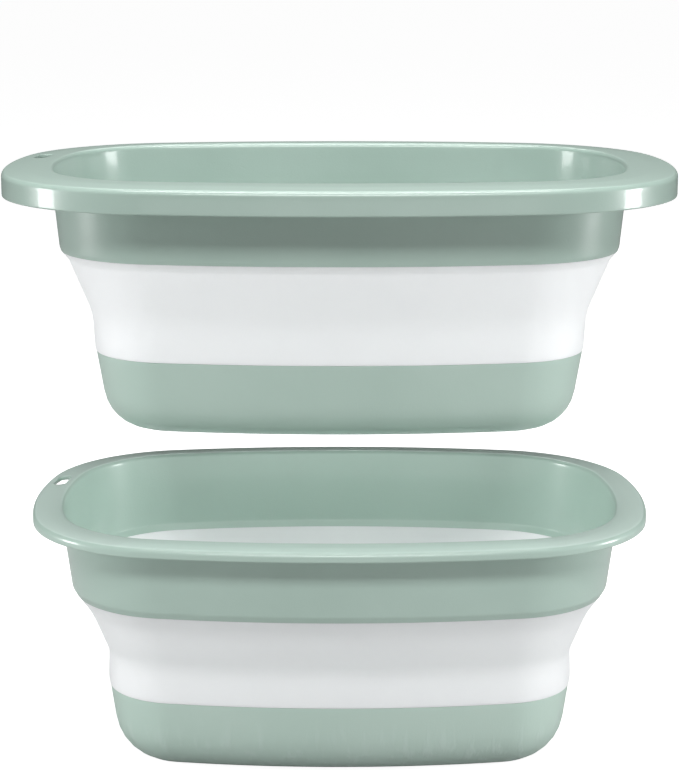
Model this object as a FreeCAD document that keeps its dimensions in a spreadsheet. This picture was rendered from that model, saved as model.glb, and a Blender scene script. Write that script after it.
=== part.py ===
import FreeCAD, Part
import math
import os
import Sketcher

# Collapsible colander held above its collapsible basin.
#
# Each vessel is a rigid rim frame, a soft band that folds and a rigid base, one above the other.
# Every wall follows one plan outline: a rounded rectangle with gently bowed sides, whose arcs are
# tangent to each other.  A wall is a section swept along that outline, so each level of a vessel is
# an inset from the basin's rim edge.  The colander takes its insets from the basin that it sits in.
#
# Frame: +Z up, X along the length, Y across, origin on the ground under the basin's centre.

# Driving dimensions, in millimetres.
DIMENSIONS = {
    # plan outline at the basin's rim edge
    "rim_length": 400.0,
    "rim_width": 277.0,
    "end_radius": 280.0,
    "side_radius": 700.0,
    "corner_radius": 95.0,
    # shared mouldings
    "wall": 2.2,
    "floor_thickness": 2.6,
    "rim_edge_round": 3.2,
    "mouth_round": 3.0,
    "band_round": 3.3,
    # basin
    "basin_height": 167.0,
    "basin_flange": 18.0,
    "basin_lip": 7.4,
    "basin_droop": 1.6,
    "basin_ring_height": 53.5,
    "basin_ring_taper": 6.0,
    "basin_shoulder_step": 11.0,
    "basin_shoulder_drop": 13.0,
    "basin_band_taper": 12.0,
    "basin_band_drop": 30.0,
    "basin_band_height": 63.0,
    "basin_base_draft": 7.2,
    "basin_floor_round": 32.0,
    # colander
    "floor_fit_gap": 1.9,
    "colander_height": 163.5,
    "colander_flange": 30.5,
    "colander_lip": 16.2,
    "colander_droop": 1.8,
    "colander_ring_height": 50.5,
    "colander_ring_taper": 4.4,
    "colander_shoulder_step": 5.0,
    "colander_shoulder_drop": 5.0,
    "colander_band_taper": 14.6,
    "colander_band_drop": 36.0,
    "colander_band_strip": 1.8,
    "colander_band_height": 64.0,
    "colander_base_draft": 8.1,
    "colander_floor_round": 26.0,
    # rest position of the colander, and the openings
    "lift_gap": 55.5,
    "drain_diameter": 4.0,
    "drain_pitch": 13.0,
    "drain_margin": 4.0,
    "hang_slot_width": 8.0,
    "hang_slot_start": 6.0,
    "hang_slot_sweep": 3.0,
}
ROW_STAGGER = math.sqrt(3) / 2
BORE_TOLERANCE = 0.001

doc = FreeCAD.newDocument("collapsible_colander_set")
sheet = doc.addObject("Spreadsheet::Sheet", "Sizes")
for row, (name, number) in enumerate(DIMENSIONS.items(), start=1):
    sheet.set("A%d" % row, name)
    sheet.set("B%d" % row, str(number))
    sheet.setAlias("B%d" % row, name)
doc.recompute()


class Size:
    """A number together with the spreadsheet formula that it comes from."""

    def __init__(self, formula, number):
        self.formula = formula
        self.number = number

    def __add__(self, other):
        return Size("(%s + %s)" % (self.formula, other.formula), self.number + other.number)

    def __sub__(self, other):
        return Size("(%s - %s)" % (self.formula, other.formula), self.number - other.number)

    def __neg__(self):
        return Size("(0 - %s)" % self.formula, -self.number)

    def times(self, factor):
        return Size("(%s * %r)" % (self.formula, factor), self.number * factor)


def size(name):
    """The named driving dimension."""
    return Size("Sizes.%s" % name, DIMENSIONS[name])


ZERO = Size("0", 0.0)
HALF_LENGTH = size("rim_length").times(0.5)
HALF_WIDTH = size("rim_width").times(0.5)
END_CENTRE = HALF_LENGTH - size("end_radius")
SIDE_CENTRE = HALF_WIDTH - size("side_radius")


def corner_centre():
    """Centre of the corner arc that is tangent inside both the end arc and the side arc."""
    end_reach = DIMENSIONS["end_radius"] - DIMENSIONS["corner_radius"]
    side_reach = DIMENSIONS["side_radius"] - DIMENSIONS["corner_radius"]
    end_point = FreeCAD.Vector(END_CENTRE.number, 0, 0)
    side_point = FreeCAD.Vector(0, SIDE_CENTRE.number, 0)
    span = side_point - end_point
    gap = span.Length
    along = (end_reach ** 2 - side_reach ** 2 + gap ** 2) / (2 * gap)
    across = math.sqrt(end_reach ** 2 - along ** 2)
    direction = FreeCAD.Vector(span).normalize()
    normal = FreeCAD.Vector(-direction.y, direction.x, 0)
    if normal.x < 0:
        normal = normal.negative()
    return end_point + direction * along + normal * across


CORNER = corner_centre()
END_ANGLE = math.atan2(CORNER.y, CORNER.x - END_CENTRE.number)
SIDE_ANGLE = math.atan2(CORNER.y - SIDE_CENTRE.number, CORNER.x)


def inside_outline(across, up, inset):
    """Whether a point of the plan lies inside the outline moved inwards by inset."""
    point = FreeCAD.Vector(abs(across), abs(up), 0)
    end_centre = FreeCAD.Vector(END_CENTRE.number, 0, 0)
    side_centre = FreeCAD.Vector(0, SIDE_CENTRE.number, 0)
    from_end, from_side = point - end_centre, point - side_centre
    if from_end.x > 0 and math.atan2(from_end.y, from_end.x) < END_ANGLE:
        return from_end.Length < DIMENSIONS["end_radius"] - inset
    if math.atan2(from_side.y, from_side.x) > SIDE_ANGLE:
        return from_side.Length < DIMENSIONS["side_radius"] - inset
    return (point - CORNER).Length < DIMENSIONS["corner_radius"] - inset


def bind(sketch, constraint, name, amount):
    """Add a dimension to a sketch and drive it from the sheet."""
    index = sketch.addConstraint(constraint)
    sketch.renameConstraint(index, name)
    sketch.setExpression(".Constraints." + name, amount.formula)


def place_point(sketch, geometry, point, name, across, up):
    """Fix a sketch point at (across, up) from the sketch's origin."""
    if across.number == 0.0:
        sketch.addConstraint(Sketcher.Constraint("PointOnObject", geometry, point, -2))
    else:
        offset = Sketcher.Constraint("DistanceX", -1, 1, geometry, point, across.number)
        bind(sketch, offset, name + "_across", across)
    if up.number == 0.0:
        sketch.addConstraint(Sketcher.Constraint("PointOnObject", geometry, point, -1))
    else:
        offset = Sketcher.Constraint("DistanceY", -1, 1, geometry, point, up.number)
        bind(sketch, offset, name + "_up", up)


def new_sketch(body, name, plane, height=None):
    """A sketch on one of the body's own origin planes, raised by height on XY."""
    sketch = body.newObject("Sketcher::SketchObject", name)
    planes = [item for item in body.Origin.OriginFeatures if item.Role == plane]
    sketch.AttachmentSupport = (planes[0], [""])
    sketch.MapMode = "FlatFace"
    if height is not None:
        sketch.setExpression(".AttachmentOffset.Base.z", height.formula)
    return sketch


def arc(centre_x, centre_y, radius, start, end):
    """A counter-clockwise arc between two directions."""
    circle = Part.Circle(FreeCAD.Vector(centre_x, centre_y, 0), FreeCAD.Vector(0, 0, 1), radius)
    return Part.ArcOfCircle(circle, start, end)


def half_outline(body, name, inset, closed=False):
    """The plan outline's half with Y above zero, moved inwards by inset.

    Five tangent arcs run from +X to -X.  A closed one has a straight edge along the X axis.
    """
    sketch = new_sketch(body, name, "XY_Plane")
    end_radius = size("end_radius") - inset
    corner_radius = size("corner_radius") - inset
    side_radius = size("side_radius") - inset
    end_x, side_y = END_CENTRE.number, SIDE_CENTRE.number
    arcs = [
        arc(end_x, 0, end_radius.number, 0, END_ANGLE),
        arc(CORNER.x, CORNER.y, corner_radius.number, END_ANGLE, SIDE_ANGLE),
        arc(0, side_y, side_radius.number, SIDE_ANGLE, math.pi - SIDE_ANGLE),
        arc(-CORNER.x, CORNER.y, corner_radius.number, math.pi - SIDE_ANGLE, math.pi - END_ANGLE),
        arc(-end_x, 0, end_radius.number, math.pi - END_ANGLE, math.pi),
    ]
    sketch.addGeometry(arcs, False)
    for index in range(4):
        sketch.addConstraint(Sketcher.Constraint("Tangent", index, 2, index + 1, 1))
    place_point(sketch, 0, 3, "right_centre", END_CENTRE, ZERO)
    place_point(sketch, 2, 3, "side_centre", ZERO, SIDE_CENTRE)
    place_point(sketch, 4, 3, "left_centre", -END_CENTRE, ZERO)
    sketch.addConstraint(Sketcher.Constraint("PointOnObject", 0, 1, -1))
    sketch.addConstraint(Sketcher.Constraint("PointOnObject", 4, 2, -1))
    radii = [end_radius, corner_radius, side_radius, corner_radius, end_radius]
    for index, radius in enumerate(radii):
        constraint = Sketcher.Constraint("Radius", index, radius.number)
        bind(sketch, constraint, "radius_%d" % index, radius)
    if closed:
        right = FreeCAD.Vector(end_x + end_radius.number, 0, 0)
        base_line = sketch.addGeometry(Part.LineSegment(right.negative(), right), False)
        sketch.addConstraint(Sketcher.Constraint("Coincident", 4, 2, base_line, 1))
        sketch.addConstraint(Sketcher.Constraint("Coincident", base_line, 2, 0, 1))
    return sketch


def section(body, name, corners):
    """A closed wall section in the XZ plane at the outline's +X end.

    Each corner is (inset from the basin's rim edge, height, corner radius or None).
    """
    sketch = new_sketch(body, name, "XZ_Plane")
    count = len(corners)
    across = [HALF_LENGTH - inset for inset, height, radius in corners]
    points = [FreeCAD.Vector(x.number, corner[1].number, 0) for x, corner in zip(across, corners)]
    entries, exits = [], []
    for index, (inset, height, radius) in enumerate(corners):
        to_last = (points[index - 1] - points[index]).normalize()
        to_next = (points[(index + 1) % count] - points[index]).normalize()
        setback = 0.0
        if radius is not None:
            setback = radius.number / math.tan(to_last.getAngle(to_next) / 2)
        entries.append(points[index] + to_last * setback)
        exits.append(points[index] + to_next * setback)
    for index in range(count):
        line = Part.LineSegment(exits[index], entries[(index + 1) % count])
        sketch.addGeometry(line, False)
    for index, (inset, height, radius) in enumerate(corners):
        before, after = (index - 1) % count, index
        label = "corner_%d" % index
        if radius is None:
            sketch.addConstraint(Sketcher.Constraint("Coincident", before, 2, after, 1))
            place_point(sketch, after, 1, label, across[index], height)
            continue
        into, out_of = points[index] - entries[index], exits[index] - points[index]
        turns_left = into.cross(out_of).z > 0
        side = FreeCAD.Vector(-into.y, into.x, 0).normalize()
        centre = entries[index] + side * (radius.number if turns_left else -radius.number)
        start, end = (entries[index], exits[index])
        if not turns_left:
            start, end = end, start
        angles = [math.atan2(spot.y - centre.y, spot.x - centre.x) for spot in (start, end)]
        if angles[1] < angles[0]:
            angles[1] += 2 * math.pi
        rounding = arc(centre.x, centre.y, radius.number, angles[0], angles[1])
        curve = sketch.addGeometry(rounding, False)
        first, last = (1, 2) if turns_left else (2, 1)
        sketch.addConstraint(Sketcher.Constraint("Tangent", before, 2, curve, first))
        sketch.addConstraint(Sketcher.Constraint("Tangent", curve, last, after, 1))
        bind(sketch, Sketcher.Constraint("Radius", curve, radius.number), label + "_radius", radius)
        mark = sketch.addGeometry(Part.Point(points[index]), True)
        sketch.addConstraint(Sketcher.Constraint("PointOnObject", mark, 1, before))
        sketch.addConstraint(Sketcher.Constraint("PointOnObject", mark, 1, after))
        place_point(sketch, mark, 1, label, across[index], height)
    return sketch


def swept_wall(body, name, corners):
    """Sweep a wall section along half of the plan outline."""
    path = half_outline(body, name + "_path", ZERO)
    profile = section(body, name + "_section", corners)
    pipe = body.newObject("PartDesign::AdditivePipe", name)
    pipe.Profile = profile
    pipe.Spine = path
    return pipe


def mirror_across(body, name, features):
    """Mirror the half across the XZ plane and make it the body's tip."""
    mirrored = body.newObject("PartDesign::Mirrored", name)
    mirrored.Originals = features
    planes = [item for item in body.Origin.OriginFeatures if item.Role == "XZ_Plane"]
    mirrored.MirrorPlane = (planes[0], [""])
    body.Tip = mirrored
    doc.recompute()
    return mirrored


def new_body(name):
    body = doc.addObject("PartDesign::Body", name)
    body.Label = name
    return body


class Vessel:
    """Insets and heights of one vessel, measured from the basin's rim edge and the vessel's foot."""

    def __init__(self, name, floor_inset, strip):
        def own(word):
            return size("%s_%s" % (name, word))

        self.name = name
        self.wall = size("wall")
        self.top = own("height")
        self.lip = own("lip")
        self.droop = own("droop")
        self.floor_round = own("floor_round")
        self.ring_foot = self.top - own("ring_height")
        self.shoulder_foot = self.ring_foot - own("shoulder_drop")
        self.kink = self.shoulder_foot - own("band_drop")
        self.base_top = self.ring_foot - own("band_height")
        self.floor_inset = floor_inset
        self.base_inset = floor_inset - own("base_draft")
        self.kink_inset = self.base_inset - strip
        self.shoulder_inset = self.kink_inset - own("band_taper")
        self.ring_inset = self.shoulder_inset - own("shoulder_step")
        self.wall_inset = self.ring_inset - own("ring_taper")
        self.edge_inset = self.wall_inset - own("flange")

    def rim_corners(self):
        """Turned-down lip, sloping flange and upper ring wall."""
        wall, edge_round = self.wall, size("rim_edge_round")
        inner_round = edge_round - wall
        return [
            (self.edge_inset, self.top - self.lip, None),
            (self.edge_inset, self.top - self.droop, edge_round),
            (self.wall_inset + wall, self.top, size("mouth_round")),
            (self.ring_inset + wall, self.ring_foot, None),
            (self.ring_inset, self.ring_foot, None),
            (self.wall_inset, self.top - wall, None),
            (self.edge_inset + wall, self.top - self.droop - wall, inner_round),
            (self.edge_inset + wall, self.top - self.lip, None),
        ]

    def band_corners(self):
        """Soft wall between ring and base: a rounded shoulder, a taper and an upright strip."""
        wall, fold = self.wall, size("band_round")
        return [
            (self.ring_inset, self.ring_foot, None),
            (self.ring_inset + wall, self.ring_foot, None),
            (self.shoulder_inset + wall, self.shoulder_foot, fold),
            (self.kink_inset + wall, self.kink, fold),
            (self.base_inset + wall, self.base_top, None),
            (self.base_inset, self.base_top, None),
            (self.kink_inset, self.kink, fold),
            (self.shoulder_inset, self.shoulder_foot, fold),
        ]

    def base_corners(self):
        """Lower wall that turns into the floor with a generous radius."""
        wall, floor = self.wall, size("floor_thickness")
        reach = self.floor_inset + self.floor_round
        return [
            (self.base_inset, self.base_top, None),
            (self.base_inset + wall, self.base_top, None),
            (self.floor_inset + wall, floor, self.floor_round - floor),
            (reach, floor, None),
            (reach, ZERO, None),
            (self.floor_inset, ZERO, self.floor_round),
        ]

    def build_rim(self):
        body = new_body(self.name + "_rim")
        ring = swept_wall(body, self.name + "_rim_wall", self.rim_corners())
        mirror_across(body, self.name + "_rim_pair", [ring])
        self.cut_hang_slot(body)
        return body

    def build_band(self):
        body = new_body(self.name + "_band")
        skin = swept_wall(body, self.name + "_band_wall", self.band_corners())
        mirror_across(body, self.name + "_band_pair", [skin])
        return body

    def build_base(self):
        body = new_body(self.name + "_base")
        wall = swept_wall(body, self.name + "_base_wall", self.base_corners())
        plate_edge = self.floor_inset + self.floor_round - size("wall")
        outline = half_outline(body, self.name + "_floor_outline", plate_edge, closed=True)
        plate = body.newObject("PartDesign::Pad", self.name + "_floor")
        plate.Profile = outline
        plate.setExpression("Length", size("floor_thickness").formula)
        doc.recompute()
        mirror_across(body, self.name + "_base_pair", [wall, plate])
        return body

    def cut_hang_slot(self, body):
        """An oblong slot through the flange at the -X end, following the rim's end arc."""
        before = body.Shape.Volume
        sketch = new_sketch(body, self.name + "_hang_slot_outline", "XY_Plane", self.top + self.lip)
        middle = (self.edge_inset + self.wall_inset + size("wall")).times(0.5)
        radius = size("end_radius") - middle
        half_width = size("hang_slot_width").times(0.5)
        start = math.pi - math.radians(DIMENSIONS["hang_slot_start"] + DIMENSIONS["hang_slot_sweep"])
        end = math.pi - math.radians(DIMENSIONS["hang_slot_start"])
        centre_x = -END_CENTRE.number
        caps = [(centre_x + radius.number * math.cos(turn), radius.number * math.sin(turn))
                for turn in (start, end)]
        sketch.addGeometry([
            arc(centre_x, 0, radius.number + half_width.number, start, end),
            arc(caps[1][0], caps[1][1], half_width.number, end, end + math.pi),
            arc(centre_x, 0, radius.number - half_width.number, start, end),
            arc(caps[0][0], caps[0][1], half_width.number, start - math.pi, start),
        ], False)
        sketch.addConstraint(Sketcher.Constraint("Tangent", 0, 2, 1, 1))
        sketch.addConstraint(Sketcher.Constraint("Tangent", 1, 2, 2, 2))
        sketch.addConstraint(Sketcher.Constraint("Tangent", 2, 1, 3, 1))
        sketch.addConstraint(Sketcher.Constraint("Tangent", 3, 2, 0, 1))
        place_point(sketch, 0, 3, "slot_centre", -END_CENTRE, ZERO)
        bind(sketch, Sketcher.Constraint("Radius", 1, half_width.number), "slot_end", half_width)
        outer = radius + half_width
        bind(sketch, Sketcher.Constraint("Radius", 0, outer.number), "slot_outer", outer)
        for name, index, turn in (("slot_low", 3, start), ("slot_high", 1, end)):
            rise = Size("(%s * %r)" % (radius.formula, math.sin(turn)), radius.number * math.sin(turn))
            height = Sketcher.Constraint("DistanceY", -1, 1, index, 3, rise.number)
            bind(sketch, height, name, rise)
        slot = body.newObject("PartDesign::Pocket", self.name + "_hang_slot")
        slot.Profile = sketch
        slot.setExpression("Length", (self.lip + self.lip).formula)
        doc.recompute()
        if not body.Shape.Volume < before:
            raise RuntimeError("the hang slot of %s cuts nothing" % self.name)

    def drill_floor(self, body):
        """A staggered field of drain holes over the whole flat floor."""
        before = body.Shape.Volume
        radius = size("drain_diameter").times(0.5)
        edge = self.floor_inset + self.floor_round + size("drain_margin") + radius
        column_pitch, row_pitch = size("drain_pitch"), size("drain_pitch").times(ROW_STAGGER)
        columns = int(HALF_LENGTH.number / column_pitch.number)
        rows = int(HALF_WIDTH.number / row_pitch.number)
        centres = []
        for row in range(-rows, rows + 1):
            shift = 0.5 * (row % 2)
            for column in range(-columns, columns + 1):
                across, up = column_pitch.times(column + shift), row_pitch.times(float(row))
                if inside_outline(across.number, up.number, edge.number):
                    centres.append((across, up))
        sketch = new_sketch(body, self.name + "_drain_holes", "XY_Plane", size("floor_thickness"))
        upward = FreeCAD.Vector(0, 0, 1)
        for across, up in centres:
            middle = FreeCAD.Vector(across.number, up.number, 0)
            sketch.addGeometry(Part.Circle(middle, upward, radius.number), False)
        bind(sketch, Sketcher.Constraint("Radius", 0, radius.number), "drain_radius", radius)
        same = [Sketcher.Constraint("Equal", 0, index) for index in range(1, len(centres))]
        sketch.addConstraint(same)
        for index, (across, up) in enumerate(centres):
            place_point(sketch, index, 3, "drain_%d" % index, across, up)
        drain = body.newObject("PartDesign::Pocket", self.name + "_drain")
        drain.Profile = sketch
        drain.Type = "ThroughAll"
        doc.recompute()
        bored = math.pi * radius.number ** 2 * DIMENSIONS["floor_thickness"] * len(centres)
        if abs(before - body.Shape.Volume - bored) > BORE_TOLERANCE * bored:
            raise RuntimeError("the drain holes of %s are incomplete" % self.name)


basin_floor_inset = (size("basin_flange") + size("basin_ring_taper") + size("basin_shoulder_step")
                     + size("basin_band_taper") + size("basin_base_draft"))
basin = Vessel("basin", basin_floor_inset, ZERO)

# The colander's foot passes the basin's upright band strip with the named gap.
colander_floor_inset = basin.kink_inset + size("wall") + size("floor_fit_gap")
colander = Vessel("colander", colander_floor_inset, size("colander_band_strip"))

bodies = [basin.build_base(), basin.build_band(), basin.build_rim()]
colander_bodies = [colander.build_base(), colander.build_band(), colander.build_rim()]
colander.drill_floor(colander_bodies[0])
lift = basin.top + size("lift_gap")
for body in colander_bodies:
    body.setExpression(".Placement.Base.z", lift.formula)
bodies += colander_bodies
doc.recompute()

for item in doc.Objects:
    if "Invalid" in item.State or "Error" in item.State:
        raise RuntimeError("%s did not recompute: %s" % (item.Name, item.State))
for body in bodies:
    if body.Shape.isNull() or not body.Shape.isValid() or len(body.Shape.Solids) != 1:
        raise RuntimeError("%s has no single valid solid" % body.Label)

os.makedirs("parts", exist_ok=True)
for body in bodies:
    body.Shape.exportStep("parts/%s.step" % body.Label)
    box = body.Shape.optimalBoundingBox(False, False)
    print("%-15s volume %9.0f  x %.1f..%.1f  y %.1f..%.1f  z %.1f..%.1f" % (
        body.Label, body.Shape.Volume, box.XMin, box.XMax, box.YMin, box.YMax, box.ZMin, box.ZMax))
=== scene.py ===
"""Collapsible colander held above its collapsible basin: skins, finishes, studio and camera.

Both vessels are moulded shells whose sections follow one plan outline.  Each shell is a rim frame,
a soft folding band or a rigid base, and each is a class of its own below.
Section sizes are in millimetres, and everything that reaches Blender is in metres.
"""

import logging
import math
from dataclasses import dataclass
from enum import Enum
from typing import Any, Callable, Mapping, Optional, Sequence, Union

import bmesh
import bpy
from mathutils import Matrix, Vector
from mathutils.geometry import delaunay_2d_cdt

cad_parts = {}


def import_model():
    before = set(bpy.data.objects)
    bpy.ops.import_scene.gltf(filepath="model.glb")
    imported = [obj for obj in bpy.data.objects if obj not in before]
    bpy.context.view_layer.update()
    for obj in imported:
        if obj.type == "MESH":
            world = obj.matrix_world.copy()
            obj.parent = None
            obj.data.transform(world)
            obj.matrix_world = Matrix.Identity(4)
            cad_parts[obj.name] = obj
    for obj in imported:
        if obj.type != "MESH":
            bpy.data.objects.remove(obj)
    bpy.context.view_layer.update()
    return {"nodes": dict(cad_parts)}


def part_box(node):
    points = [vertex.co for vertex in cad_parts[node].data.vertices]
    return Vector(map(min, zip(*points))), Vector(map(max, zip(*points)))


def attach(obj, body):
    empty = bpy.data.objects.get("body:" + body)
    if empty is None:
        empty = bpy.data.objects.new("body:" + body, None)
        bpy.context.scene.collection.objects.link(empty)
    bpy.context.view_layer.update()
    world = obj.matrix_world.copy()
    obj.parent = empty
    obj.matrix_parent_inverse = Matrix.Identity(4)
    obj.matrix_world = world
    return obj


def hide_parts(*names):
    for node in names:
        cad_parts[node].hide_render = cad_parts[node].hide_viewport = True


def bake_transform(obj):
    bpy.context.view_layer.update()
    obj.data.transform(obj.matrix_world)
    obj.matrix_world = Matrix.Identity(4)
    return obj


log = logging.getLogger("colander_set")

MM = 0.001
DRAIN_SIDES = 14
SLOT_STEPS = 8
Colour = tuple[float, float, float]
Place = tuple[float, float, float]
Value = Union["Wire", float, int, Colour]


class Body(Enum):
    """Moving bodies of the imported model."""

    BASIN_FOOT = "basin_foot"
    BASIN_FRAME = "basin_frame"
    COLANDER_FRAME = "colander_frame"
    COLANDER_FOOT = "colander_foot"


class Slot(Enum):
    """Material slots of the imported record."""

    SAGE = "sage_plastic"
    WHITE = "white_soft_band"


# ---------------------------------------------------------------- shader tools


class Wire:
    """A shader socket that can be used in arithmetic."""

    def __init__(self, tree: "ShaderTree", socket: bpy.types.NodeSocket) -> None:
        """Keep the socket and the tree that it belongs to."""
        self.tree = tree
        self.socket = socket

    def _math(self, operation: str, first: Value, second: Value) -> "Wire":
        """Add one Math node and return its result."""
        return self.tree.node("ShaderNodeMath", {"operation": operation}, {0: first, 1: second})

    def __add__(self, other: Value) -> "Wire":
        """Sum of this value and another."""
        return self._math("ADD", self, other)

    def __radd__(self, other: Value) -> "Wire":
        """Sum with a plain number on the left."""
        return self._math("ADD", other, self)

    def __sub__(self, other: Value) -> "Wire":
        """Difference of this value and another."""
        return self._math("SUBTRACT", self, other)

    def __rsub__(self, other: Value) -> "Wire":
        """Difference with a plain number on the left."""
        return self._math("SUBTRACT", other, self)

    def __mul__(self, other: Value) -> "Wire":
        """Product of this value and another."""
        return self._math("MULTIPLY", self, other)

    def __rmul__(self, other: Value) -> "Wire":
        """Product with a plain number on the left."""
        return self._math("MULTIPLY", other, self)


class ShaderTree:
    """Node tree of one material or world, with one method that adds any node."""

    def __init__(self, owner: Union[bpy.types.Material, bpy.types.World]) -> None:
        """Start an empty node tree.

        Args:
            owner: The material or world that the tree belongs to.
        """
        owner.use_nodes = True
        self.owner = owner
        self.nodes = owner.node_tree.nodes
        self.links = owner.node_tree.links
        self.nodes.clear()

    def node(self, kind: str, settings: Mapping[str, Any], values: Mapping[Any, Value],
             output: Union[int, str, None] = 0) -> Optional[Wire]:
        """Add a node.

        Args:
            kind: Blender's node type.
            settings: Node properties, set before the sockets.
            values: Numbers, colours or wires for the input sockets, by name or index.
            output: Name or index of the socket to return, or None for a node without outputs.

        Returns:
            The chosen output socket, or None.
        """
        made = self.nodes.new(kind)
        for key, setting in settings.items():
            setattr(made, key, setting)
        for key, value in values.items():
            socket = made.inputs[key]
            if isinstance(value, Wire):
                self.links.new(value.socket, socket)
            elif isinstance(value, tuple) and len(socket.default_value) == 4:
                socket.default_value = (*value, 1.0)
            else:
                socket.default_value = value
        return None if output is None else Wire(self, made.outputs[output])

    def stretched(self, stretch: Colour) -> Wire:
        """Object position multiplied by a factor on each axis.

        Args:
            stretch: Factor for X, Y and Z.

        Returns:
            The scaled vector.
        """
        place = self.node("ShaderNodeTexCoord", {}, {}, "Object")
        return self.node("ShaderNodeVectorMath", {"operation": "MULTIPLY"}, {0: place, 1: stretch})

    def height(self) -> Wire:
        """Height of the shaded point above the ground, in metres."""
        place = self.node("ShaderNodeTexCoord", {}, {}, "Object")
        return self.node("ShaderNodeSeparateXYZ", {}, {0: place}, "Z")

    def upward(self) -> Wire:
        """Mask that is 1 where the surface faces up."""
        normal = self.node("ShaderNodeNewGeometry", {}, {}, "Normal")
        return self.step(self.node("ShaderNodeSeparateXYZ", {}, {0: normal}, "Z"), 0.80, 0.97)

    def outside(self) -> Wire:
        """Mask that is 1 where the surface faces away from the vessel's upright axis."""
        normal = self.node("ShaderNodeNewGeometry", {}, {}, "Normal")
        reach = self.stretched((1.0, 1.0, 0.0))
        facing = self.node("ShaderNodeVectorMath", {"operation": "DOT_PRODUCT"},
                           {0: normal, 1: reach}, "Value")
        return self.step(facing, 0.01, 0.05)

    def noise(self, stretch: Colour, scale: float, detail: float = 3.0) -> Wire:
        """Fractal noise between 0 and 1.

        Args:
            stretch: Factor on each axis, so that a small one draws the grain out.
            scale: Features per metre, roughly.
            detail: Number of octaves.

        Returns:
            The noise value.
        """
        values = {"Vector": self.stretched(stretch), "Scale": scale, "Detail": detail}
        return self.node("ShaderNodeTexNoise", {}, values, "Fac")

    def step(self, value: Wire, low: float, high: float) -> Wire:
        """Smooth rise from 0 at low to 1 at high.

        Args:
            value: The value to compare.
            low: Where the rise starts.
            high: Where the rise ends.

        Returns:
            The stepped value.
        """
        values = {"Value": value, "From Min": low, "From Max": high}
        return self.node("ShaderNodeMapRange", {"interpolation_type": "SMOOTHSTEP"}, values)

    def mix(self, factor: Value, first: Value, second: Value) -> Wire:
        """Mix of two colours.

        Args:
            factor: Share of the second colour.
            first: Colour at factor 0.
            second: Colour at factor 1.

        Returns:
            The mixed colour.
        """
        values = {0: factor, 6: first, 7: second}
        return self.node("ShaderNodeMix", {"data_type": "RGBA"}, values, 2)

    def bump(self, height: Wire, depth: float) -> Wire:
        """Normal bent by a height map.

        Args:
            height: Height between 0 and 1.
            depth: Depth in metres of a height of 1.

        Returns:
            The bent normal.
        """
        return self.node("ShaderNodeBump", {}, {"Height": height, "Distance": depth,
                                                "Strength": 1.0})

    def principled(self, values: Mapping[str, Value]) -> bpy.types.Material:
        """End a material's tree in a Principled shader.

        Args:
            values: Numbers, colours or wires for the shader's sockets.

        Returns:
            The finished material.
        """
        shader = self.node("ShaderNodeBsdfPrincipled", {}, values)
        self.node("ShaderNodeOutputMaterial", {}, {"Surface": shader}, None)
        return self.owner


# ---------------------------------------------------------------- finishes


@dataclass(frozen=True)
class MouldedPlastic:
    """Satin polypropylene with a faint moulding texture, fine scratches and scuffed patches, and, where
    a crown is given, painted light on faces that point up.

    Attributes:
        piece: Name of the piece that is moulded in it.
        colour: Base colour.
        worn: Paler colour of the scuffed patches.
        gloss: Mean roughness.
        coat: Weight of the polished skin.
        crown: Paler colour painted on faces that point up, as painted light from above, or None.
        streaks_below: Height in metres under which paler, smoother vertical streaks show on faces that
            point outward, or None.
    """

    piece: str
    colour: Colour = (0.430, 0.560, 0.497)
    worn: Colour = (0.465, 0.592, 0.530)
    gloss: float = 0.30
    coat: float = 0.12
    crown: Optional[Colour] = None
    streaks_below: Optional[float] = None

    def material(self) -> bpy.types.Material:
        """Build the node material."""
        tree = ShaderTree(bpy.data.materials.new("sage_" + self.piece))
        clouds = tree.noise((1.0, 1.0, 1.0), 9.0)
        grain = tree.noise((1.0, 1.0, 1.0), 900.0, 2.0)
        scratches = tree.step(tree.noise((0.25, 1.0, 0.6), 520.0, 4.0), 0.66, 0.74)
        colour = tree.mix(tree.step(clouds, 0.35, 0.75), self.colour, self.worn)
        roughness = self.gloss + clouds * 0.08 + grain * 0.05 + scratches * 0.10
        relief = grain * 0.5 + clouds * 0.2 - scratches * 0.3
        # Painted light: faces that point up are mixed towards the paler crown colour, as if lit from
        # above.
        if self.crown is not None:
            colour = tree.mix(tree.upward() * (1.0 - clouds * 0.25), colour, self.crown)
        # Paler, glossier vertical streaks that fade out upwards, on faces that point outward.
        if self.streaks_below is not None:
            fade = 1.0 - tree.step(tree.height(), self.streaks_below * 0.45, self.streaks_below)
            lines = tree.step(tree.noise((1.0, 1.0, 0.03), 150.0, 3.0), 0.50, 0.70)
            marks = lines * fade * tree.outside()
            colour = tree.mix(marks * 0.30, colour, (0.62, 0.74, 0.69))
            roughness = roughness - marks * 0.06
            relief = relief + marks * 1.4
        values = {
            "Base Color": colour,
            "Roughness": roughness,
            "Normal": tree.bump(relief, 0.00012),
            "IOR": 1.49,
            "Specular IOR Level": 0.5,
            "Coat Weight": self.coat,
            "Coat Roughness": 0.08,
        }
        return tree.principled(values)


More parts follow.
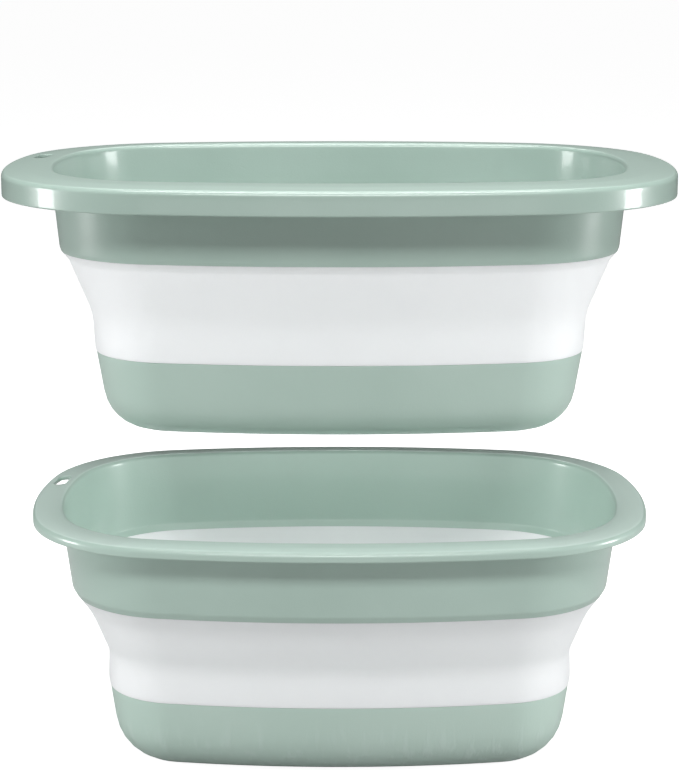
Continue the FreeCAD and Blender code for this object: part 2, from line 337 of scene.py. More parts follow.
@dataclass(frozen=True)
class SoftRubber:
    """Matt white thermoplastic rubber with a silky grain and faint handling marks.

    Attributes:
        name: Name of the material.
        colour: Base colour.
        handled: Slightly greyer colour of the handled patches.
        gloss: Mean roughness.
    """

    name: str
    colour: Colour = (0.930, 0.945, 0.965)
    handled: Colour = (0.890, 0.905, 0.930)
    gloss: float = 0.46

    def material(self) -> bpy.types.Material:
        """Build the node material."""
        tree = ShaderTree(bpy.data.materials.new(self.name))
        clouds = tree.noise((1.0, 1.0, 1.4), 11.0)
        grain = tree.noise((1.0, 1.0, 1.0), 1300.0, 2.0)
        drawn = tree.noise((1.0, 1.0, 0.12), 60.0, 2.0)
        colour = tree.mix(tree.step(clouds, 0.45, 0.80), self.colour, self.handled)
        values = {
            "Base Color": colour,
            "Roughness": self.gloss + clouds * 0.10 + grain * 0.06,
            "Normal": tree.bump(grain * 0.5 + drawn * 0.35, 0.00010),
            "IOR": 1.45,
            "Specular IOR Level": 0.4,
            "Sheen Weight": 0.08,
            "Sheen Roughness": 0.5,
            "Subsurface Weight": 0.35,
            "Subsurface Radius": (1.0, 1.0, 1.0),
            "Subsurface Scale": 0.008,
        }
        return tree.principled(values)


@dataclass(frozen=True)
class PaleFloor:
    """Plain matt studio floor, lifted to an even paleness behind the set.

    Attributes:
        name: Name of the material.
        pale: Grey level of the floor.
        lift: Light added where the floor is seen directly.
    """

    name: str
    pale: float = 0.45
    lift: float = 0.94

    def material(self) -> bpy.types.Material:
        """Build the node material."""
        tree = ShaderTree(bpy.data.materials.new(self.name))
        clouds = tree.noise((1.0, 1.0, 1.0), 3.0)
        near, far = (self.pale,) * 3, (self.pale * 1.03,) * 3
        seen = tree.node("ShaderNodeLightPath", {}, {}, "Is Camera Ray")
        values = {
            "Base Color": tree.mix(clouds, near, far),
            "Roughness": 0.75 + clouds * 0.10,
            "Specular IOR Level": 0.1,
            "Emission Color": tree.mix(seen, (0.0, 0.0, 0.0), (1.0, 1.0, 1.0)),
            "Emission Strength": self.lift,
        }
        return tree.principled(values)


# ---------------------------------------------------------------- shape tools


@dataclass(frozen=True)
class Station:
    """One place on the plan outline.

    Attributes:
        spot: Place on the outermost outline, in millimetres.
        outward: Unit vector that points away from the vessel.
    """

    spot: Vector
    outward: Vector

    def at(self, inset: float, height: float) -> Vector:
        """Place inside the outline by an inset, at a height, in millimetres."""
        flat = self.spot - self.outward * inset
        return Vector((flat.x, flat.y, height))


@dataclass(frozen=True)
class PlanOutline:
    """Rounded rectangle with gently bowed ends and sides, made of eight tangent arcs.

    Attributes:
        half_length: Half the length along X.
        half_width: Half the width along Y.
        end_radius: Radius of the two end arcs.
        side_radius: Radius of the two side arcs.
        corner_radius: Radius of the four corner arcs.
        spacing: Longest step between two stations.
    """

    half_length: float
    half_width: float
    end_radius: float = 280.0
    side_radius: float = 700.0
    corner_radius: float = 95.0
    spacing: float = 3.2

    @property
    def end_centre(self) -> Vector:
        """Centre of the +X end arc."""
        return Vector((self.half_length - self.end_radius, 0.0))

    @property
    def side_centre(self) -> Vector:
        """Centre of the +Y side arc."""
        return Vector((0.0, self.half_width - self.side_radius))

    @property
    def corner_centre(self) -> Vector:
        """Centre of the corner arc that is tangent inside the end arc and the side arc."""
        end_reach = self.end_radius - self.corner_radius
        side_reach = self.side_radius - self.corner_radius
        span = self.side_centre - self.end_centre
        along = (end_reach ** 2 - side_reach ** 2 + span.length_squared) / (2 * span.length)
        across = math.sqrt(end_reach ** 2 - along ** 2)
        direction = span.normalized()
        sideways = Vector((-direction.y, direction.x))
        if sideways.x < 0:
            sideways.negate()
        return self.end_centre + direction * along + sideways * across

    def _arc(self, centre: Vector, radius: float, start: float, end: float) -> list[Station]:
        """Stations of one arc, without its last point.

        Args:
            centre: Centre of the arc.
            radius: Radius of the arc.
            start: First direction, in radians.
            end: Last direction, in radians.

        Returns:
            The stations in order.
        """
        count = max(6, math.ceil(radius * abs(end - start) / self.spacing))
        turns = [start + (end - start) * index / count for index in range(count)]
        outward = [Vector((math.cos(turn), math.sin(turn))) for turn in turns]
        return [Station(centre + way * radius, way) for way in outward]

    def stations(self) -> list[Station]:
        """All stations, counter-clockwise from the +X end."""
        corner = self.corner_centre
        from_end, from_side = corner - self.end_centre, corner - self.side_centre
        end_turn = math.atan2(from_end.y, from_end.x)
        side_turn = math.atan2(from_side.y, from_side.x)
        quarter = (
            self._arc(self.end_centre, self.end_radius, 0.0, end_turn)
            + self._arc(corner, self.corner_radius, end_turn, side_turn)
            + self._arc(self.side_centre, self.side_radius, side_turn, math.pi / 2)
        )
        top = Station(Vector((0.0, self.half_width)), Vector((0.0, 1.0)))
        mirror_x = [self._flip(station, -1.0, 1.0) for station in reversed(quarter)]
        upper = quarter + [top] + mirror_x
        lower = [self._flip(station, 1.0, -1.0) for station in reversed(upper[1:-1])]
        return upper + lower

    @staticmethod
    def _flip(station: Station, along: float, across: float) -> Station:
        """Station mirrored by a sign on X and on Y."""
        sign = Vector((along, across))
        return Station(station.spot * sign, station.outward * sign)


@dataclass(frozen=True)
class Corner:
    """One corner of a section.

    Attributes:
        inset: Distance inside the plan outline.
        height: Height above the vessel's own foot.
        rounding: Radius of the corner, or 0 for a sharp one.
    """

    inset: float
    height: float
    rounding: float = 0.0

    @property
    def point(self) -> Vector:
        """The corner as a vector of inset and height."""
        return Vector((self.inset, self.height))


def rounded(corners: Sequence[Corner], closed: bool, step: float) -> list[Vector]:
    """Turn corners into a polyline with rounded corners and evenly divided runs.

    Args:
        corners: The section's corners in order.
        closed: Whether the last corner joins the first.
        step: Longest distance between two points of a straight run.

    Returns:
        Points of inset and height.
    """
    count = len(corners)
    pieces: list[list[Vector]] = []
    for index, corner in enumerate(corners):
        is_end = not closed and index in (0, count - 1)
        if corner.rounding == 0.0 or is_end:
            pieces.append([corner.point])
            continue
        before = corners[index - 1].point
        after = corners[(index + 1) % count].point
        pieces.append(_arc_between(before, corner.point, after, corner.rounding))
    line: list[Vector] = []
    for index, piece in enumerate(pieces):
        line.extend(piece)
        if not closed and index == count - 1:
            break
        start, end = piece[-1], pieces[(index + 1) % count][0]
        runs = max(1, math.ceil((end - start).length / step))
        line.extend(start.lerp(end, part / runs) for part in range(1, runs))
    return line


def _arc_between(before: Vector, corner: Vector, after: Vector, radius: float) -> list[Vector]:
    """Points of the arc that rounds one corner.

    Args:
        before: The point before the corner.
        corner: The corner itself.
        after: The point after the corner.
        radius: Radius of the arc.

    Returns:
        The arc's points, ends included.
    """
    to_before, to_after = (before - corner).normalized(), (after - corner).normalized()
    half = to_before.angle(to_after) / 2
    setback = radius / math.tan(half)
    centre = corner + (to_before + to_after).normalized() * (radius / math.sin(half))
    first = corner + to_before * setback - centre
    last = corner + to_after * setback - centre
    turn = first.angle(last)
    steps = max(3, math.ceil(turn / math.radians(13.0)))
    points = []
    for index in range(steps + 1):
        part = index / steps
        blend = first * math.sin((1 - part) * turn) + last * math.sin(part * turn)
        points.append(centre + blend / math.sin(turn))
    return points


class Shell:
    """Mesh of one moulded piece, gathered in millimetres."""

    def __init__(self, name: str, foot: float) -> None:
        """Start an empty shell.

        Args:
            name: Name of the finished object.
            foot: Height in millimetres at which the vessel stands.
        """
        self.name = name
        self.foot = foot
        self.points: list[Vector] = []
        self.faces: list[tuple[int, ...]] = []

    def add(self, points: Sequence[Vector]) -> list[int]:
        """Add points and return their indices."""
        first = len(self.points)
        self.points.extend(points)
        return list(range(first, len(self.points)))

    def sweep(self, stations: Sequence[Station], section: Sequence[Vector], closed: bool,
              keep: Callable[[int, int], bool]) -> list[list[int]]:
        """Carry a section round the whole outline.

        Args:
            stations: The outline's stations.
            section: Points of inset and height.
            closed: Whether the section's last point joins its first.
            keep: Says for a station index and a section index whether that face is made.

        Returns:
            Point indices, one row per station.
        """
        rows = [self.add([station.at(*point) for point in section]) for station in stations]
        width = len(section)
        for turn, row in enumerate(rows):
            following = rows[(turn + 1) % len(rows)]
            for index in range(width if closed else width - 1):
                beside = (index + 1) % width
                if keep(turn, index):
                    self.faces.append((row[index], following[index], following[beside], row[beside]))
        return rows

    def bridge(self, first: Sequence[int], second: Sequence[int]) -> None:
        """Join two closed loops with the same number of points."""
        for index in range(len(first)):
            beside = (index + 1) % len(first)
            self.faces.append((first[index], first[beside], second[beside], second[index]))

    def fill(self, border: Sequence[int], holes: Sequence[Sequence[int]],
             inner: Sequence[int]) -> None:
        """Fill a border seen from above, round its holes.

        Args:
            border: Closed loop round the sheet.
            holes: Closed loops that stay open.
            inner: Further points of the sheet.
        """
        loops = [border, *holes]
        order = [index for loop in loops for index in loop] + list(inner)
        owner = [number for number, loop in enumerate(loops) for _ in loop] + [0] * len(inner)
        flat = [self.points[index].to_2d() for index in order]
        edges, first = [], 0
        for loop in loops:
            count = len(loop)
            edges += [(first + index, first + (index + 1) % count) for index in range(count)]
            first += count
        _, _, faces, sources, _, _ = delaunay_2d_cdt(flat, edges, [], 1, 1e-6)
        for face in faces:
            corners = [sources[index][0] for index in face]
            owners = {owner[corner] for corner in corners}
            if len(owners) > 1 or owners == {0}:
                self.faces.append(tuple(order[corner] for corner in corners))

    def build(self) -> bpy.types.Object:
        """Turn the shell into a smooth-shaded object in metres."""
        lift = Vector((0.0, 0.0, self.foot))
        mesh = bpy.data.meshes.new(self.name)
        mesh.from_pydata([(point + lift) * MM for point in self.points], [], self.faces)
        work = bmesh.new()
        work.from_mesh(mesh)
        loose = [vert for vert in work.verts if not vert.link_faces]
        bmesh.ops.delete(work, geom=loose, context="VERTS")
        bmesh.ops.recalc_face_normals(work, faces=work.faces)
        work.to_mesh(mesh)
        work.free()
        mesh.shade_smooth()
        mesh.set_sharp_from_angle(angle=math.radians(42.0))
        made = bpy.data.objects.new(self.name, mesh)
        bpy.context.scene.collection.objects.link(made)
        return made


def always(turn: int, index: int) -> bool:
    """Keep every face of a sweep."""
    return True


# ---------------------------------------------------------------- pieces


@dataclass(frozen=True)
class Vessel:
    """What the three pieces of one vessel share.

    Attributes:
        name: First word of the piece names.
        foot: Height at which the vessel stands.
        outline: The plan outline that insets are measured from.
        frame: Body that carries the rim.
        base: Body that carries the base.
        wall: Thickness of the walls.
    """

    name: str
    foot: float
    outline: PlanOutline
    frame: Body
    base: Body
    wall: float = 2.2


@dataclass(frozen=True)
class RimFrame:
    """Rigid upper frame: turned-down lip, flange with a hang slot, and the upper wall.

    Attributes:
        vessel: The vessel that it belongs to.
        edge: Inset of the rim's outer edge.
        throat: Inset of the upper wall's outside under the flange.
        ring: Inset of the upper wall's outside at its foot.
        ring_foot: Height of the upper wall's foot.
        top: Height of the mouth.
        droop: Fall of the flange from the mouth to the edge.
        lip: Depth of the turned-down lip below the mouth.
        edge_round: Radius of the rim's outer top edge.
        tuck: How far the upper wall turns in at its foot.
        tuck_height: Height over which it turns in.
        crown: Swell of the flange's surface.
        slot_width: Width of the hang slot.
        slot_from: Direction of the slot's near end, in degrees from the -X axis.
        slot_to: Direction of the slot's far end.
        patch_margin: Reach past the slot's ends of the patch that is refilled, in degrees.
    """

    vessel: Vessel
    edge: float
    throat: float
    ring: float
    ring_foot: float
    top: float
    droop: float
    lip: float
    edge_round: float
    tuck: float
    tuck_height: float
    crown: float = 0.35
    slot_width: float = 8.0
    slot_from: float = 6.0
    slot_to: float = 9.0
    patch_margin: float = 4.5

    @property
    def name(self) -> str:
        """Name of the CAD node that this piece stands for."""
        return self.vessel.name + "_rim"

    def section(self) -> list[Vector]:
        """The rim's closed section."""
        wall, low = self.vessel.wall, self.top - self.lip
        shoulder = self.top - self.droop
        middle = (self.edge + self.throat + wall) / 2
        bend = self.ring_foot + self.tuck_height
        corners = [
            Corner(self.edge, low, 0.9),
            Corner(self.edge, shoulder, self.edge_round),
            Corner(middle, (shoulder + self.top) / 2 + self.crown, 30.0),
            Corner(self.throat + wall, self.top, 3.0),
            Corner(self.ring + wall, bend, 4.0),
            Corner(self.ring + wall + self.tuck, self.ring_foot),
            Corner(self.ring + self.tuck, self.ring_foot),
            Corner(self.ring, bend, 5.0),
            Corner(self.throat, self.top - wall, 2.4),
            Corner(self.edge + wall, shoulder - wall, 1.2),
            Corner(self.edge + wall, low, 0.9),
        ]
        return rounded(corners, True, 2.2)

    def _slot_loop(self, grow: float, surface: Callable[[float], float]) -> list[Vector]:
        """Points of the hang slot's outline.

        Args:
            grow: How much wider than the slot this loop is, on each side.
            surface: Height for an inset.

        Returns:
            The loop's points.
        """
        outline = self.vessel.outline
        centre = Vector((-outline.end_centre.x, 0.0))
        middle = outline.end_radius - (self.edge + self.throat + self.vessel.wall) / 2
        half = self.slot_width / 2 + grow
        near, far = (math.pi - math.radians(turn) for turn in (self.slot_from, self.slot_to))
        spots = []
        for radius, start, end in ((middle + half, far, near), (middle - half, near, far)):
            for index in range(SLOT_STEPS + 1):
                turn = start + (end - start) * index / SLOT_STEPS
                spots.append(centre + Vector((math.cos(turn), math.sin(turn))) * radius)
            cap = centre + Vector((math.cos(end), math.sin(end))) * middle
            begin = end if radius > middle else end + math.pi
            for index in range(1, SLOT_STEPS + 2):
                turn = begin + math.pi * index / (SLOT_STEPS + 2)
                spots.append(cap + Vector((math.cos(turn), math.sin(turn))) * half)
        insets = [outline.end_radius - (spot - centre).length for spot in spots]
        return [Vector((*spot, surface(inset))) for spot, inset in zip(spots, insets)]

    def _pierce(self, shell: Shell, rows: Sequence[Sequence[int]], section: Sequence[Vector],
                turns: range, columns: range, grow: float) -> list[int]:
        """Refill one patch of the flange round the slot.

        Args:
            shell: The rim's shell.
            rows: Point indices of the sweep.
            section: The rim's section.
            turns: Stations of the patch.
            columns: Section points of the patch.
            grow: Widening of the slot on this surface.

        Returns:
            The slot's loop on this surface.
        """
        profile = sorted((section[index].x, section[index].y) for index in columns)

        def surface(inset: float) -> float:
            """Height of this surface at an inset."""
            for (left, low), (right, high) in zip(profile, profile[1:]):
                if left <= inset <= right:
                    return low + (high - low) * (inset - left) / (right - left)
            raise ValueError("the slot leaves its patch")

        loop = shell.add(self._slot_loop(grow, surface))
        first, last = turns[0], turns[-1]
        near, far = columns[0], columns[-1]
        border = [rows[turn][near] for turn in turns]
        border += [rows[last][column] for column in columns[1:]]
        border += [rows[turn][far] for turn in reversed(turns[:-1])]
        border += [rows[first][column] for column in reversed(columns[1:-1])]
        keep_out = self._slot_loop(grow + 1.0, lambda inset: 0.0)
        inner = [rows[turn][column] for turn in turns[1:-1] for column in columns[1:-1]
                 if not _inside(shell.points[rows[turn][column]], keep_out)]
        shell.fill(border, [loop], inner)
        return loop

    def _patch_turns(self, stations: Sequence[Station]) -> range:
        """Stations of the flange's patch round the slot.

        Args:
            stations: The outline's stations.

        Returns:
            Their indices.
        """
        low = math.pi - math.radians(self.slot_to + self.patch_margin)
        high = math.pi - math.radians(self.slot_from - self.patch_margin)
        centre = Vector((-self.vessel.outline.end_centre.x, 0.0))
        bearings = [math.atan2(*reversed(station.spot - centre)) for station in stations]
        inside = [turn for turn, bearing in enumerate(bearings)
                  if low <= bearing <= high and stations[turn].spot.x < 0]
        return range(inside[0], inside[-1] + 1)

    def _flange_columns(self, section: Sequence[Vector]) -> tuple[range, range]:
        """Points of the section that lie on the flange.

        Args:
            section: The rim's section.

        Returns:
            Indices of its upper points, then of its lower ones.
        """
        reach_in = self.throat - 1.0
        reach_out = self.edge + self.vessel.wall + 1.5
        fall = self.droop / (self.throat + self.vessel.wall - self.edge)

        def is_upper(point: Vector) -> bool:
            """Whether a section point is above the flange's middle surface."""
            surface = self.top - fall * (self.throat + self.vessel.wall - point.x)
            return point.y > surface - self.vessel.wall / 2

        flat = [index for index, point in enumerate(section) if reach_out < point.x < reach_in]
        over = [index for index in flat if is_upper(section[index])]
        under = [index for index in flat if not is_upper(section[index])]
        return range(over[0], over[-1] + 1), range(under[0], under[-1] + 1)

    def _line_slot(self, shell: Shell, upper: Sequence[int], lower: Sequence[int]) -> None:
        """Build the slot's wall between the flange's two faces, eased at its upper edge.

        Args:
            shell: The rim's shell.
            upper: The slot's loop on the upper face.
            lower: The slot's loop on the lower face.
        """
        heights = [shell.points[index].z for index in upper]
        mean = sum(heights) / len(heights)
        inner = [
            shell.add(self._slot_loop(0.2, lambda inset: mean - 0.15)),
            shell.add(self._slot_loop(0.0, lambda inset: mean - 0.6)),
            shell.add(self._slot_loop(0.0, lambda inset: mean - self.vessel.wall + 0.5)),
        ]
        loops = [upper, *inner, lower]
        for first, second in zip(loops, loops[1:]):
            shell.bridge(first, second)

    def build(self) -> bpy.types.Object:
        """Build the rim with its hang slot."""
        shell = Shell(self.name + "_skin", self.vessel.foot)
        stations, section = self.vessel.outline.stations(), self.section()
        turns = self._patch_turns(stations)
        top, bottom = self._flange_columns(section)

        def keep(turn: int, index: int) -> bool:
            """Leave out the faces of both patches."""
            if turn not in turns[:-1]:
                return True
            return index not in top[:-1] and index not in bottom[:-1]

        rows = shell.sweep(stations, section, True, keep)
        upper = self._pierce(shell, rows, section, turns, top, 0.6)
        lower = self._pierce(shell, rows, section, turns, bottom, 0.3)
        self._line_slot(shell, upper, lower)
        return shell.build()

    def dress(self, made: bpy.types.Object, finish: MouldedPlastic) -> None:
        """Give the rim its finish and its body.

        Args:
            made: The rim's object.
            finish: The plastic it is moulded in.
        """
        made.data.materials.append(finish.material())
        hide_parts(self.name)
        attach(made, self.vessel.frame.value)


def _inside(point: Vector, loop: Sequence[Vector]) -> bool:
    """Whether a point lies inside a loop, both seen from above.

    Args:
        point: The point to test.
        loop: Corners of the loop.

    Returns:
        True inside.
    """
    within = False
    for index, corner in enumerate(loop):
        before = loop[index - 1]
        if (corner.y > point.y) == (before.y > point.y):
            continue
        crossing = (before.x - corner.x) * (point.y - corner.y) / (before.y - corner.y) + corner.x
        if point.x < crossing:
            within = not within
    return within


@dataclass(frozen=True)
class FoldingBand:
    """Soft wall between the rim frame and the base, which folds when the vessel is pressed flat.

    Attributes:
        vessel: The vessel that it belongs to.
        outside: Corners of the outer face, from the rim frame down to the base.
        inside: Corners of the inner face, from the base up to the rim frame.
        top: Height where the band leaves the rim frame.
        bottom: Height where the band meets the base.
    """

    vessel: Vessel
    outside: tuple[Corner, ...]
    inside: tuple[Corner, ...]
    top: float
    bottom: float

    @property
    def name(self) -> str:
        """Name of the CAD node that this piece stands for."""
        return self.vessel.name + "_band"

    def build(self) -> bpy.types.Object:
        """Build the band, finely divided."""
        shell = Shell(self.name + "_skin", self.vessel.foot)
        section = rounded([*self.outside, *self.inside], True, 1.6)
        shell.sweep(self.vessel.outline.stations(), section, True, always)
        return shell.build()

    def dress(self, made: bpy.types.Object, finish: SoftRubber) -> None:
        """Give the band its finish, hide its CAD part and bake its placement into the mesh.

        Args:
            made: The band's object.
            finish: The rubber it is moulded in.
        """
        made.data.materials.append(finish.material())
        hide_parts(self.name)
        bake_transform(made)


@dataclass(frozen=True)
class RigidBase:
    """Rigid lower tub with a softly rounded foot and a flat floor.

    Attributes:
        vessel: The vessel that it belongs to.
        top_inset: Inset of the outside at the top.
        foot_inset: Inset where the wall's line meets the ground.
        top: Height of the base's upper edge.
        foot_round: Radius between the wall and the floor.
        floor: Thickness of the floor.
    """

    vessel: Vessel
    top_inset: float
    foot_inset: float
    top: float
    foot_round: float
    floor: float = 2.6

    @property
    def name(self) -> str:
        """Name of the CAD node that this piece stands for."""
        return self.vessel.name + "_base"

    @property
    def reach(self) -> float:
        """Inset where the flat floor starts."""
        return self.foot_inset + self.foot_round

    def drain_centres(self) -> list[Vector]:
        """Centres of the drain holes: a plain base has none."""
        return []

    def _drain_loop(self, centre: Vector, radius: float, height: float) -> list[Vector]:
        """Points of one drain hole at one height."""
        turns = [math.tau * index / DRAIN_SIDES for index in range(DRAIN_SIDES)]
        return [Vector((centre.x + radius * math.cos(turn), centre.y + radius * math.sin(turn), height))
                for turn in turns]

    def _lattice(self, stations: Sequence[Station], height: float) -> list[Vector]:
        """Evenly spread points of a plain floor, inside its border.

        Args:
            stations: The outline's stations.
            height: Height of the floor's surface.

        Returns:
            The points.
        """
        border = [station.at(self.reach + 4.0, height) for station in stations]
        spots = [Vector((18.0 * column, 18.0 * row, height))
                 for row in range(-5, 6) for column in range(-8, 9)]
        return [spot for spot in spots if _inside(spot, border)]

    def build(self) -> bpy.types.Object:
        """Build the base: one wall swept round the outline, and the floor's two faces."""
        wall = self.vessel.wall
        shell = Shell(self.name + "_skin", self.vessel.foot)
        corners = [
            Corner(self.reach, self.floor),
            Corner(self.foot_inset + wall, self.floor, self.foot_round - self.floor),
            Corner(self.top_inset + wall, self.top, 0.4),
            Corner(self.top_inset, self.top, 0.4),
            Corner(self.foot_inset, 0.0, self.foot_round),
            Corner(self.reach, 0.0),
        ]
        section = rounded(corners, False, 5.0)
        stations = self.vessel.outline.stations()
        rows = shell.sweep(stations, section, False, always)
        centres = self.drain_centres()
        radius, rounding = self.drain_radius(), 0.35
        rims = [
            [shell.add(self._drain_loop(centre, radius + grow, height)) for centre in centres]
            for grow, height in ((rounding, self.floor), (0.0, self.floor - rounding),
                                 (0.0, rounding), (rounding, 0.0))
        ]
        for above, below in zip(rims, rims[1:]):
            for first, second in zip(above, below):
                shell.bridge(first, second)
        for column, height, holes in ((0, self.floor, rims[0]), (-1, 0.0, rims[-1])):
            inner = [] if centres else shell.add(self._lattice(stations, height))
            shell.fill([row[column] for row in rows], holes, inner)
        return shell.build()

    def drain_radius(self) -> float:
        """Radius of the drain holes."""
        return 0.0

    def dress(self, made: bpy.types.Object, finish: MouldedPlastic) -> None:
        """Give the base its finish and its body.

        Args:
            made: The base's object.
            finish: The plastic it is moulded in.
        """
        made.data.materials.append(finish.material())
        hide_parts(self.name)
        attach(made, self.vessel.base.value)


@dataclass(frozen=True)
class DrainedBase(RigidBase):
    """Base whose whole floor is a staggered field of drain holes.

    Attributes:
        diameter: Diameter of a hole.
        pitch: Distance between neighbouring holes.
        margin: Least distance from a hole's edge to the floor's rounding.
    """

    diameter: float = 4.0
    pitch: float = 13.0
    margin: float = 4.0

    def drain_radius(self) -> float:
        """Radius of the drain holes."""
        return self.diameter / 2

    def drain_centres(self) -> list[Vector]:
        """Centres of the drain holes, in rows that are shifted by turns."""
        edge = self.reach + self.margin + self.diameter / 2
        border = [station.at(edge, 0.0) for station in self.vessel.outline.stations()]
        rise = self.pitch * math.sqrt(3) / 2
        spots = [Vector(((column + 0.5 * (row % 2)) * self.pitch, row * rise))
                 for row in range(-12, 13) for column in range(-16, 17)]
        return [spot for spot in spots if _inside(spot, border)]


# ---------------------------------------------------------------- studio


@dataclass(frozen=True)
class SoftBox:
    """One rectangular studio light.

    Attributes:
        name: Name of the lamp.
        place: Where it stands.
        aim: What it points at.
        size: Width and height.
        power: Power in watts.
    """

    name: str
    place: Place
    aim: Place
    size: tuple[float, float]
    power: float

    def build(self) -> None:
        """Hang the light."""
        lamp = bpy.data.lights.new(self.name, "AREA")
        lamp.shape = "RECTANGLE"
        lamp.size, lamp.size_y = self.size
        lamp.energy = self.power
        holder = bpy.data.objects.new(self.name, lamp)
        holder.location = self.place
        sight = Vector(self.aim) - Vector(self.place)
        holder.rotation_euler = sight.to_track_quat("-Z", "Y").to_euler()
        holder.visible_camera = False
        bpy.context.scene.collection.objects.link(holder)


@dataclass(frozen=True)
class Studio:
    """Pale floor, soft lights, sky and camera.

    Attributes:
        lights: The soft boxes.
        sky: Strength of the even light from all round.
        backdrop: Strength of the sky where it is seen behind the set.
        floor_half: Half the floor's side.
        floor_gap: How far the floor lies under the set's foot.
        eye: Place of the camera.
        pitch: How far the camera looks down, in radians.
        lens: Focal length, in millimetres.
        sensor: Width of the camera's sensor, in millimetres.
        sight: How far the camera sees.
    """

    lights: tuple[SoftBox, ...]
    sky: float = 0.08
    backdrop: float = 1.0
    floor_half: float = 30.0
    floor_gap: float = 0.0004
    eye: Place = (0.0, -1.391, 0.533)
    pitch: float = 0.208
    lens: float = 101.6
    sensor: float = 36.0
    sight: float = 200.0

    def build(self) -> None:
        """Build everything round the object."""
        self._floor()
        self._world()
        for light in self.lights:
            light.build()
        self._camera()

    def _floor(self) -> None:
        """Lay the pale floor."""
        half = self.floor_half
        corners = [(-half, -half, 0.0), (half, -half, 0.0), (half, half, 0.0), (-half, half, 0.0)]
        mesh = bpy.data.meshes.new("studio_floor")
        mesh.from_pydata(corners, [], [(0, 1, 2, 3)])
        floor = bpy.data.objects.new("studio_floor", mesh)
        floor.location.z = -self.floor_gap
        mesh.materials.append(PaleFloor("studio_floor").material())
        bpy.context.scene.collection.objects.link(floor)

    def _world(self) -> None:
        """Even white light from all round, seen brighter than it lights."""
        tree = ShaderTree(bpy.data.worlds.new("studio_sky"))
        seen = tree.node("ShaderNodeLightPath", {}, {}, "Is Camera Ray")
        strength = seen * (self.backdrop - self.sky) + self.sky
        values = {"Color": (1.0, 1.0, 1.0), "Strength": strength}
        sky = tree.node("ShaderNodeBackground", {}, values)
        tree.node("ShaderNodeOutputWorld", {}, {"Surface": sky}, None)
        bpy.context.scene.world = tree.owner

    def _camera(self) -> None:
        """Set up the camera in front of the set."""
        data = bpy.data.cameras.new("front_camera")
        data.lens = self.lens
        data.sensor_width = self.sensor
        data.clip_end = self.sight
        camera = bpy.data.objects.new("front_camera", data)
        camera.location = self.eye
        camera.rotation_euler = (math.pi / 2 - self.pitch, 0.0, 0.0)
        bpy.context.scene.collection.objects.link(camera)
        bpy.context.scene.camera = camera
        bpy.context.scene.view_settings.view_transform = "Standard"
        bpy.context.scene.view_settings.look = "None"


# ---------------------------------------------------------------- the set


def basin_pieces(outline: PlanOutline) -> tuple[RimFrame, FoldingBand, RigidBase]:
    """Sizes of the basin.

    Args:
        outline: The shared plan outline.

    Returns:
        Its rim frame, folding band and base.
    """
    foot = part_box("basin_base")[0].z / MM
    vessel = Vessel("basin", foot, outline, Body.BASIN_FRAME, Body.BASIN_FOOT)
    rim = RimFrame(vessel, edge=0.0, throat=18.0, ring=24.0, ring_foot=113.5, top=167.0,
                   droop=1.6, lip=7.4, edge_round=3.2, tuck=2.4, tuck_height=4.2)
    outside = (Corner(26.4, 113.5), Corner(35.3, 101.2, 60.0), Corner(47.3, 72.2, 28.0),
               Corner(46.6, 50.5, 0.5))
    inside = (Corner(49.2, 50.5), Corner(49.2, 70.0, 4.0), Corner(37.7, 100.4, 4.0),
              Corner(28.6, 113.5))
    band = FoldingBand(vessel, outside, inside, top=113.5, bottom=50.5)
    base = RigidBase(vessel, top_inset=47.0, foot_inset=54.2, top=50.5, foot_round=32.0)
    return rim, band, base


def colander_pieces(outline: PlanOutline) -> tuple[RimFrame, FoldingBand, DrainedBase]:
    """Sizes of the colander.

    Args:
        outline: The shared plan outline.

    Returns:
        Its rim frame, folding band and drained base.
    """
    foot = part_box("colander_base")[0].z / MM
    vessel = Vessel("colander", foot, outline, Body.COLANDER_FRAME, Body.COLANDER_FOOT)
    rim = RimFrame(vessel, edge=-13.3, throat=17.2, ring=21.6, ring_foot=113.0, top=163.5,
                   droop=1.8, lip=16.2, edge_round=3.2, tuck=0.6, tuck_height=2.0, crown=0.5)
    outside = (Corner(22.2, 113.0), Corner(26.6, 107.8, 7.0), Corner(41.3, 72.0, 40.0),
               Corner(42.6, 49.0, 0.5))
    inside = (Corner(45.2, 49.0), Corner(43.5, 71.6, 38.0), Corner(28.9, 107.2, 5.0),
              Corner(24.4, 113.0))
    band = FoldingBand(vessel, outside, inside, top=113.0, bottom=49.0)
    base = DrainedBase(vessel, top_inset=43.0, foot_inset=51.1, top=49.0, foot_round=26.0)
    return rim, band, base


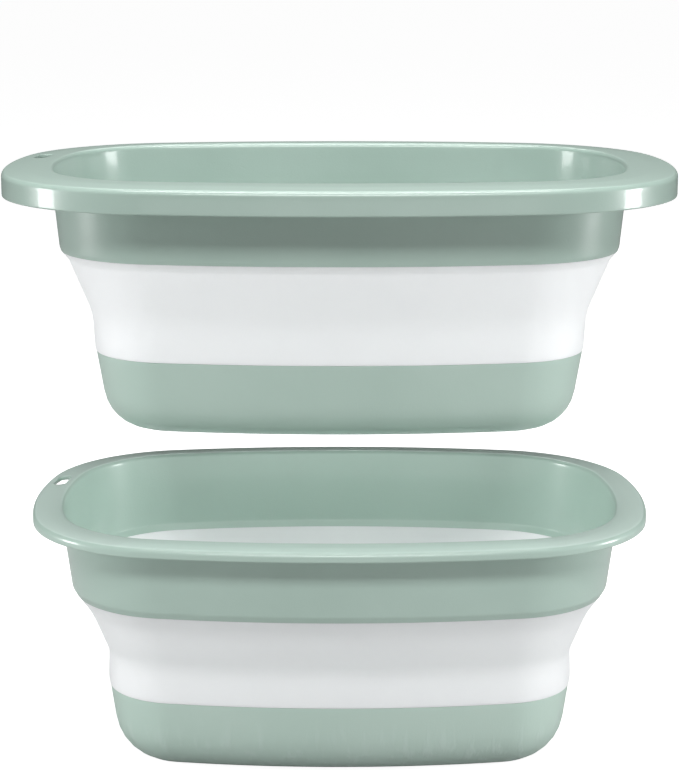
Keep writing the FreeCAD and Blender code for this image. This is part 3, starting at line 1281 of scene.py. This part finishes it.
def sage_lit_and_shaded_copies() -> dict[str, MouldedPlastic]:
    """Plastic finish of each rigid piece, by piece name: one sage plastic, in lit and shaded copies
    that paint light and shade.
    """
    # Painted shade: the colander's rim is a darker copy. Painted light: the basin's base is a lighter
    # copy, and the rims' crowns paint light on their tops.
    finishes = (
        MouldedPlastic("basin_rim", (0.400, 0.525, 0.465), (0.430, 0.556, 0.497), gloss=0.24,
                       coat=0.35, crown=(0.640, 0.775, 0.715)),
        MouldedPlastic("basin_base", (0.500, 0.646, 0.574), (0.530, 0.670, 0.600),
                       streaks_below=0.046),
        MouldedPlastic("colander_rim", (0.345, 0.455, 0.402), (0.375, 0.485, 0.432), gloss=0.24,
                       coat=0.35, crown=(0.450, 0.580, 0.518)),
        MouldedPlastic("colander_base"),
    )
    return {finish.piece: finish for finish in finishes}


def studio_lights() -> tuple[SoftBox, ...]:
    """The soft boxes round the set, and one weak one inside the basin."""
    return (
        SoftBox("front_box", (0.0, -1.80, 1.66), (0.0, 0.0, 0.20), (1.5, 0.40), 31.0),
        SoftBox("top_box", (0.0, -0.15, 2.40), (0.0, 0.0, 0.30), (1.6, 0.9), 44.0),
        SoftBox("left_box", (-2.0, -0.12, 0.28), (0.0, 0.0, 0.12), (0.5, 0.8), 21.0),
        SoftBox("right_box", (2.0, -0.12, 0.28), (0.0, 0.0, 0.12), (0.5, 0.8), 24.0),
        SoftBox("rear_box", (0.0, 1.50, 1.90), (0.0, 0.0, 0.20), (1.4, 0.5), 6.0),
        SoftBox("low_box", (0.0, -1.70, 0.12), (0.0, 0.0, 0.08), (1.6, 0.16), 1.2),
        SoftBox("basin_fill", (0.0, -0.02, 0.18), (0.0, 0.05, 0.10), (0.26, 0.10), 0.14),
    )


def main() -> None:
    """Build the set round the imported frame, then the studio."""
    logging.basicConfig(level=logging.INFO, format="%(name)s: %(message)s")
    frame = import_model()
    log.info("%d nodes in the frame", len(frame["nodes"]))
    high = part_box("basin_rim")[1]
    outline = PlanOutline(high.x / MM, high.y / MM)
    sage = sage_lit_and_shaded_copies()
    for rim, band, base in (basin_pieces(outline), colander_pieces(outline)):
        for piece in (rim, band, base):
            made = piece.build()
            finish = sage.get(piece.name) or SoftRubber("white_" + piece.name)
            piece.dress(made, finish)
            log.info("%s: %d faces", made.name, len(made.data.polygons))
    Studio(studio_lights()).build()


if __name__ == "__main__":
    main()
